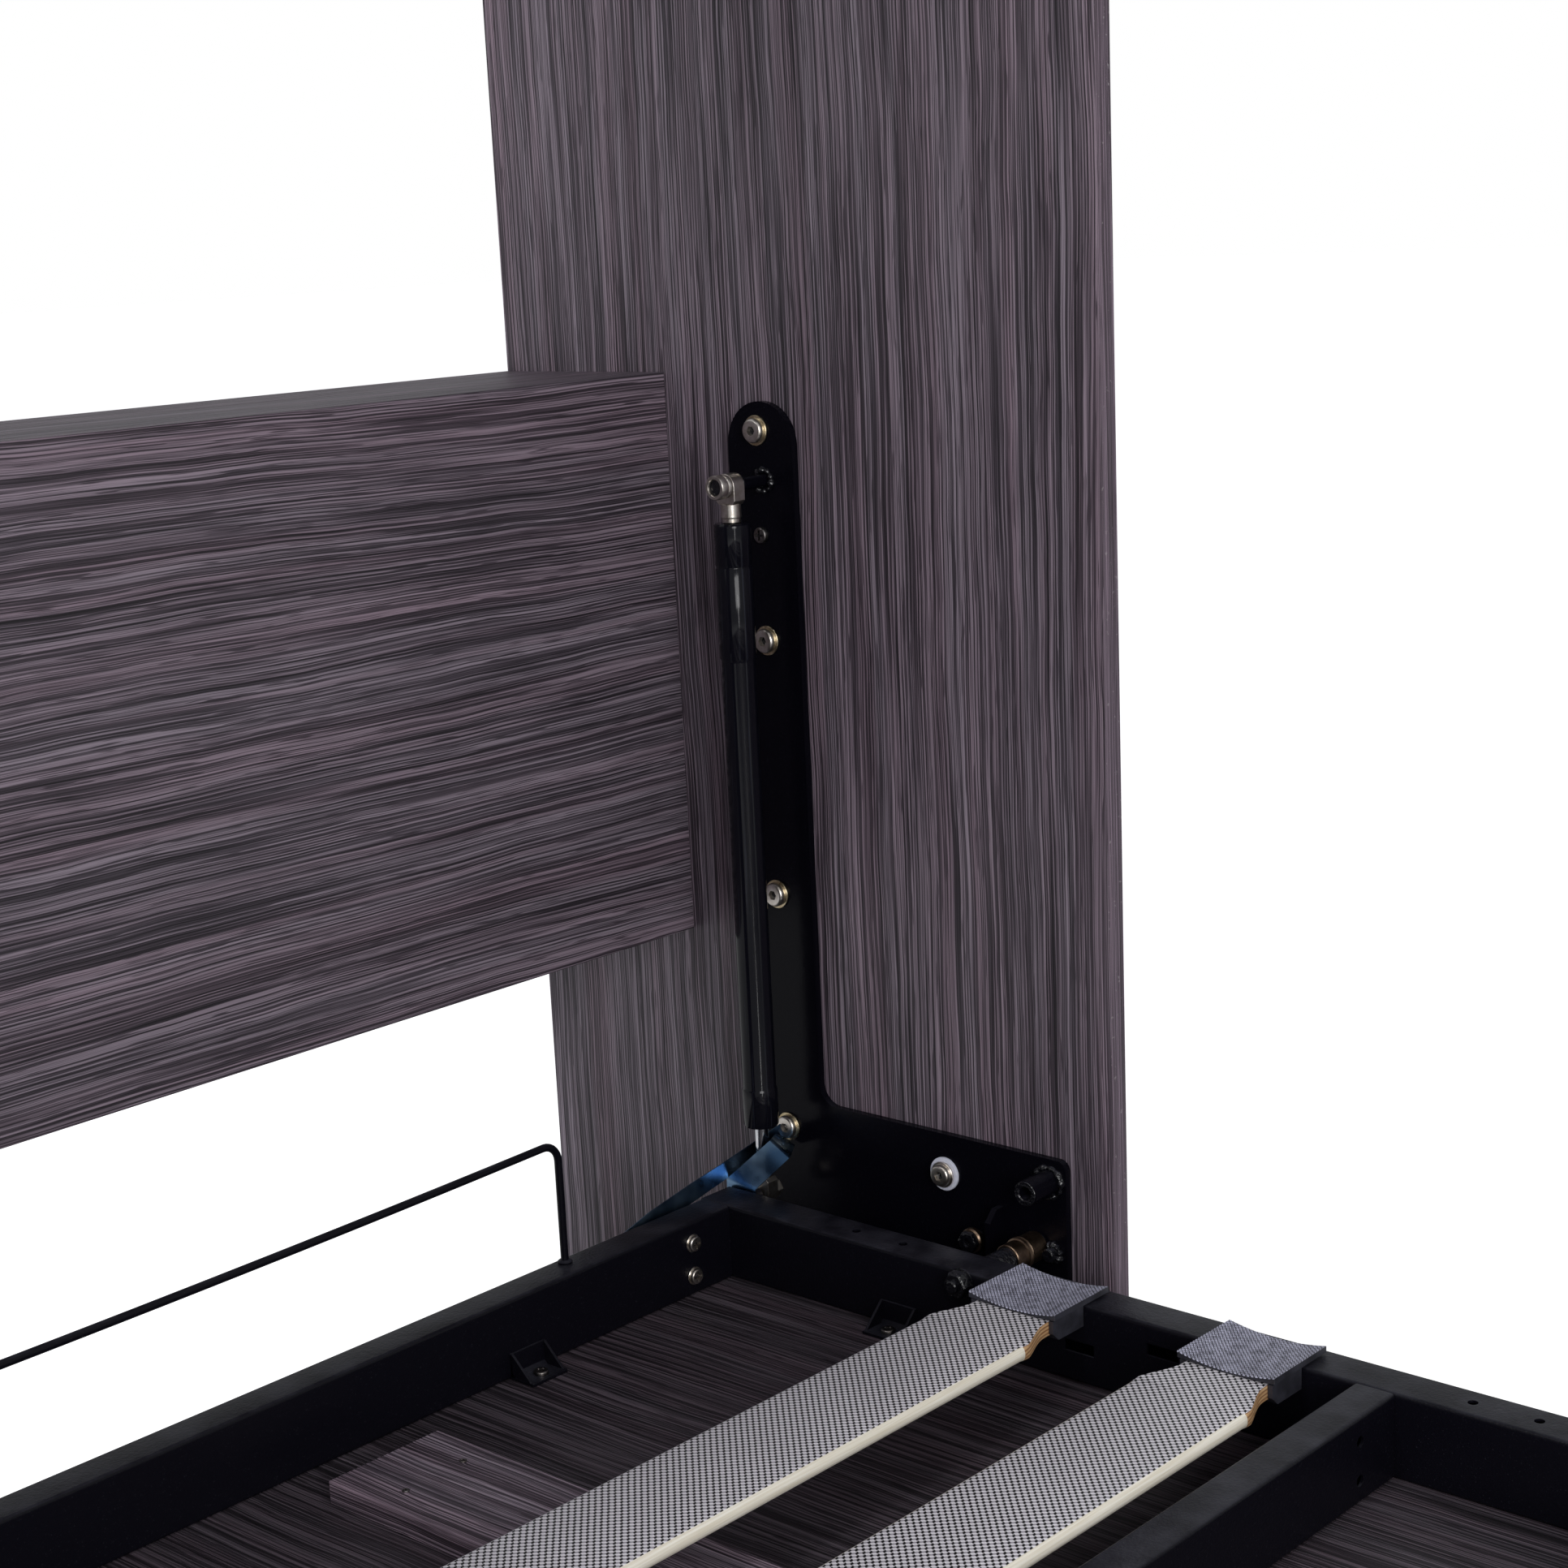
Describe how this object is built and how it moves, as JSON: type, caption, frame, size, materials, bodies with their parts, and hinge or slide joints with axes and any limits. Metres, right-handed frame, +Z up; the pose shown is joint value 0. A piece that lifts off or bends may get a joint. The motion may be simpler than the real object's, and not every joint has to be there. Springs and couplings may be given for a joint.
{
  "type": "murphy wall bed",
  "caption": "Fold-down double wall bed: open-fronted cabinet with box headboard, pivoting steel frame on gas springs, slats in rubber caps, panelled front and a folding leg.",
  "frame": {"origin": "on the floor, under the middle of the outline with the bed folded down", "axes": "+Z up, +Y to the wall behind the cabinet, +X to the right of someone facing the wall; the bed folds down towards -Y"},
  "size_m": [1.532, 2.256, 2.085],
  "materials": {
    "oak_laminate": "dark grey-brown oak-grain laminate on board, matt, edge banded",
    "black_plate": "black coated steel plate, smooth satin",
    "black_powder": "black powder-coated steel tube, fine texture",
    "spring_black": "gloss black painted tube",
    "nickel": "nickel-plated steel, lightly brushed",
    "bronze": "worn bronze bush on its pin",
    "slat_film": "birch plywood, woven-look grey film on top, bare bullnosed edges",
    "cap_rubber": "dark moulded rubber with a basket-weave top"
  },
  "bodies": {
    "cabinet": {"side_panel_left": "oak_laminate", "side_panel_right": "oak_laminate", "top_panel": "oak_laminate", "toe_kick": "oak_laminate", "upper_rear_rail": "oak_laminate", "lower_rear_rail": "oak_laminate", "headboard_front": "oak_laminate", "headboard_shelf": "oak_laminate", "headboard_bottom": "oak_laminate", "mechanism_plate_left": "black_plate", "mechanism_plate_right": "black_plate"},
    "bed_frame": {"side_rail_left": "black_powder", "side_rail_right": "black_powder", "head_rail": "black_powder", "foot_rail": "black_powder", "cross_tube_1": "black_powder", "cross_tube_2": "black_powder", "cross_tube_3": "black_powder", "pivot_pin_left": "bronze", "pivot_pin_right": "bronze", "slat_1": "slat_film", "slat_2": "slat_film", "slat_3": "slat_film", "slat_4": "slat_film", "slat_5": "slat_film", "slat_6": "slat_film", "slat_7": "slat_film", "slat_cap_1_left": "cap_rubber", "slat_cap_1_right": "cap_rubber", "slat_cap_2_left": "cap_rubber", "slat_cap_2_right": "cap_rubber", "slat_cap_3_left": "cap_rubber", "slat_cap_3_right": "cap_rubber", "slat_cap_4_left": "cap_rubber", "slat_cap_4_right": "cap_rubber", "slat_cap_5_left": "cap_rubber", "slat_cap_5_right": "cap_rubber", "slat_cap_6_left": "cap_rubber", "slat_cap_6_right": "cap_rubber", "slat_cap_7_left": "cap_rubber", "slat_cap_7_right": "cap_rubber", "front_panel_left": "oak_laminate", "front_panel_centre": "oak_laminate", "front_panel_right": "oak_laminate", "batten_head_left": "oak_laminate", "batten_head_right": "oak_laminate", "batten_foot_left": "oak_laminate", "batten_foot_right": "oak_laminate", "mattress_stop": "black_powder", "leg_bracket_left": "black_powder", "leg_bracket_right": "black_powder"},
    "leg": {"leg_frame": "black_powder"},
    "spring_cylinder_left": {"gas_upper_eye_left": "nickel", "gas_cylinder_left": "spring_black"},
    "spring_rod_left": {"gas_rod_left": "nickel", "gas_lower_eye_left": "nickel"},
    "spring_cylinder_right": {"gas_upper_eye_right": "nickel", "gas_cylinder_right": "spring_black"},
    "spring_rod_right": {"gas_rod_right": "nickel", "gas_lower_eye_right": "nickel"}
  },
  "joints": [
    {"name": "bed_fold", "type": "hinge", "parent": "cabinet", "child": "bed_frame", "pos_m": [0, 0.595, 0.34], "axis": [-1, 0, 0], "range_deg": [0, 90]},
    {"name": "leg_fold", "type": "hinge", "parent": "bed_frame", "child": "leg", "pos_m": [0, -1.068, 0.2567], "axis": [1, 0, 0], "range_deg": [0, 90]},
    {"name": "gas_swing_left", "type": "hinge", "parent": "cabinet", "child": "spring_cylinder_left", "pos_m": [-0.703, 0.839, 0.909], "axis": [-1, 0, 0], "range_deg": [0, 16.63]},
    {"name": "gas_stroke_left", "type": "slide", "parent": "spring_cylinder_left", "child": "spring_rod_left", "axis": [0, 0, -1], "range_m": [0, 0.28145]},
    {"name": "gas_swing_right", "type": "hinge", "parent": "cabinet", "child": "spring_cylinder_right", "pos_m": [0.703, 0.839, 0.909], "axis": [-1, 0, 0], "range_deg": [0, 16.63]},
    {"name": "gas_stroke_right", "type": "slide", "parent": "spring_cylinder_right", "child": "spring_rod_right", "axis": [0, 0, -1], "range_m": [0, 0.28145]}
  ],
  "couplings": [
    {"joint": "gas_swing_left", "follows": "bed_fold", "ratio": 0.18418},
    {"joint": "gas_stroke_left", "follows": "bed_fold", "m_per_rad": 0.17905},
    {"joint": "gas_swing_right", "follows": "bed_fold", "ratio": 0.18418},
    {"joint": "gas_stroke_right", "follows": "bed_fold", "m_per_rad": 0.17905}
  ]
}
